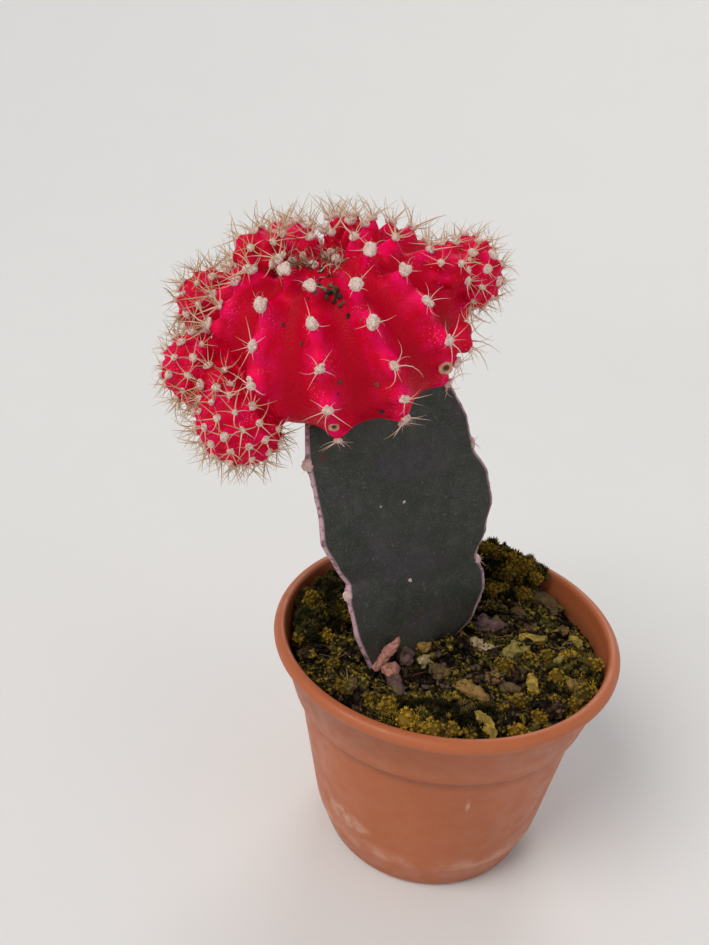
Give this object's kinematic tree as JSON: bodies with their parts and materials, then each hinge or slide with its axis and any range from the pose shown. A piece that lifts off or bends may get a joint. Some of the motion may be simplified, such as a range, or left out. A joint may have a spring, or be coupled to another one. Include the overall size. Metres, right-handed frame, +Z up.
{
  "type": "potted moon cactus",
  "caption": "Red grafted moon cactus with offsets on a three-winged green rootstock, in a small round plastic nursery pot of mossy potting mix.",
  "frame": {"origin": "centre of the underside of the pot, on the surface it stands on", "axes": "+Z up the pot's axis; -Y towards the front, from where the head leans to the left, -X"},
  "size_m": [0.0783, 0.06, 0.1154],
  "materials": {
    "pot_plastic": "satin terracotta-coloured moulded plastic with a pale water mark low on the wall",
    "potting_mix": null,
    "stock_skin": null,
    "red_flesh": null,
    "moss": null,
    "bark": "split bark, matt brown with paler fibres"
  },
  "bodies": {
    "root": {"pot": "pot_plastic", "soil": "potting_mix", "rootstock": "stock_skin", "scion": "red_flesh", "moss_back": "moss", "moss_left": "moss", "moss_front": "moss", "moss_right": "moss", "bark_chip_1": "bark", "bark_chip_2": "bark", "bark_chip_3": "bark", "bark_chip_4": "bark"}
  },
  "joints": []
}
